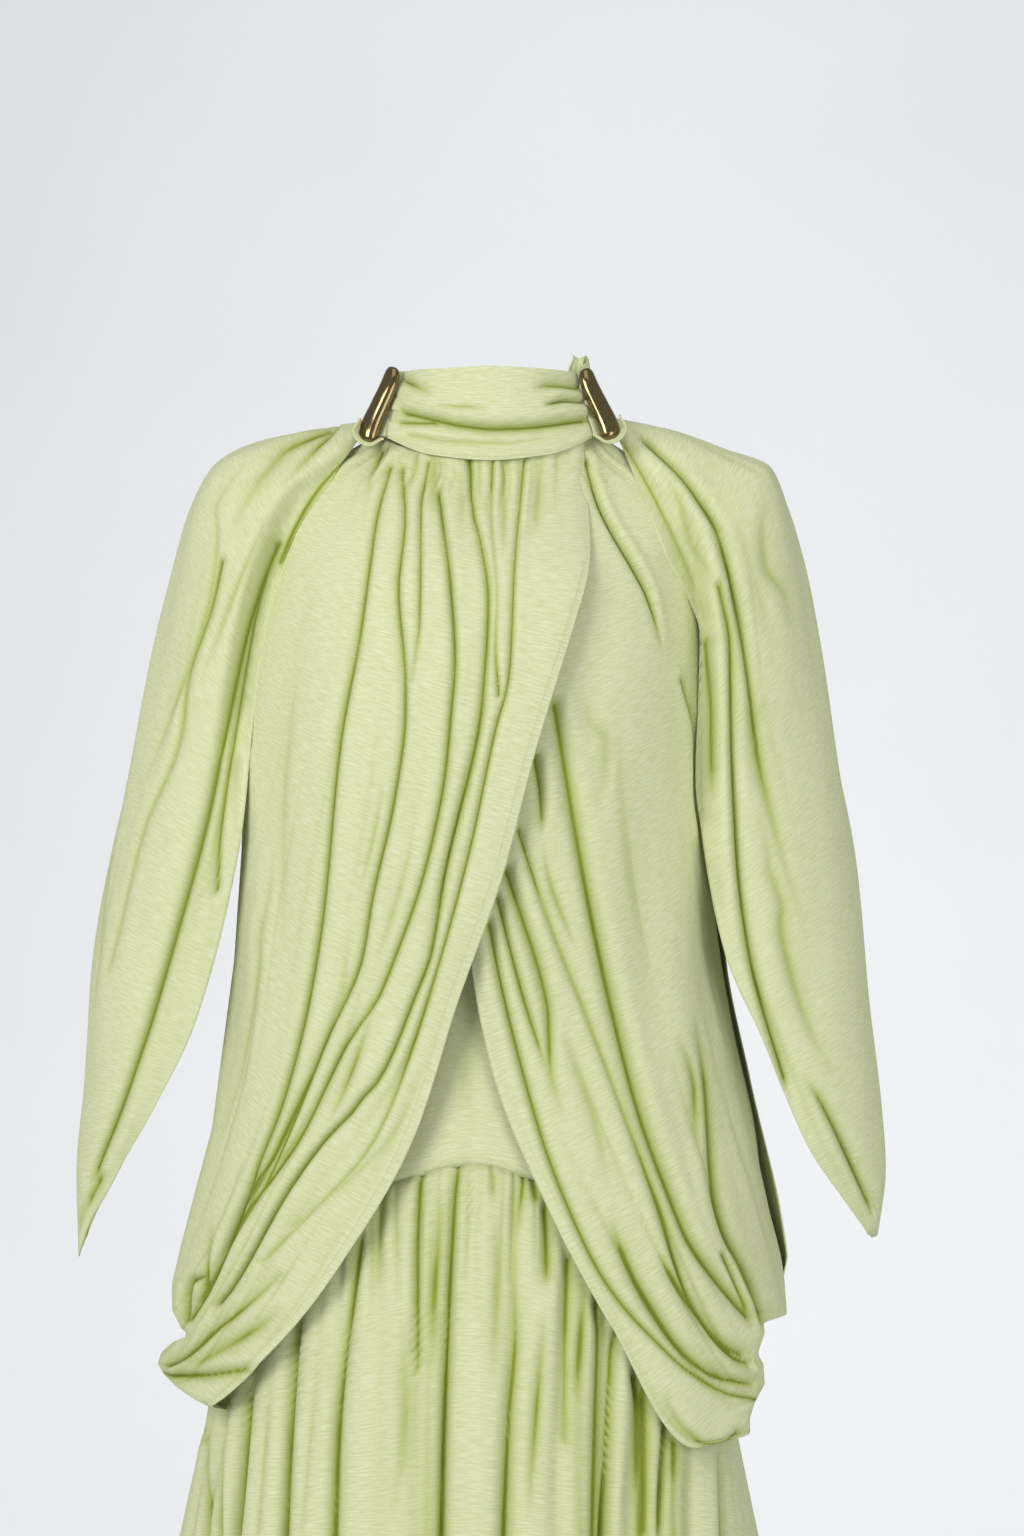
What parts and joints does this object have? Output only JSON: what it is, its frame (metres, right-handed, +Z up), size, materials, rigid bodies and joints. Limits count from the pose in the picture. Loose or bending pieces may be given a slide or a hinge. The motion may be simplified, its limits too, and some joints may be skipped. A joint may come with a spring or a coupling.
{
  "type": "maxi dress",
  "caption": "Draped high-neck maxi dress with a ruched collar, metal bars at the neck, crossed gathered front panels, cape sleeves and a full gathered skirt.",
  "frame": {"origin": "centre of the neck seam, where the collar meets the drapes, held by the wearer's neck", "axes": "+Z up out of the neck, +Y to the wearer's back, +X to the wearer's left"},
  "size_m": [0.6612, 0.4043, 1.4826],
  "materials": {
    "jersey": "matte with a soft sheen",
    "polished_metal": "polished pale gold"
  },
  "bodies": {
    "root": {"bodice_front": "jersey", "bodice_back": "jersey", "drape_left": "jersey", "drape_right": "jersey", "drape_back": "jersey", "skirt_front": "jersey", "skirt_back": "jersey", "collar_front": "jersey", "collar_back": "jersey", "sleeve_right": "jersey", "sleeve_left": "jersey", "bar_right": "polished_metal", "bar_left": "polished_metal"}
  },
  "joints": []
}
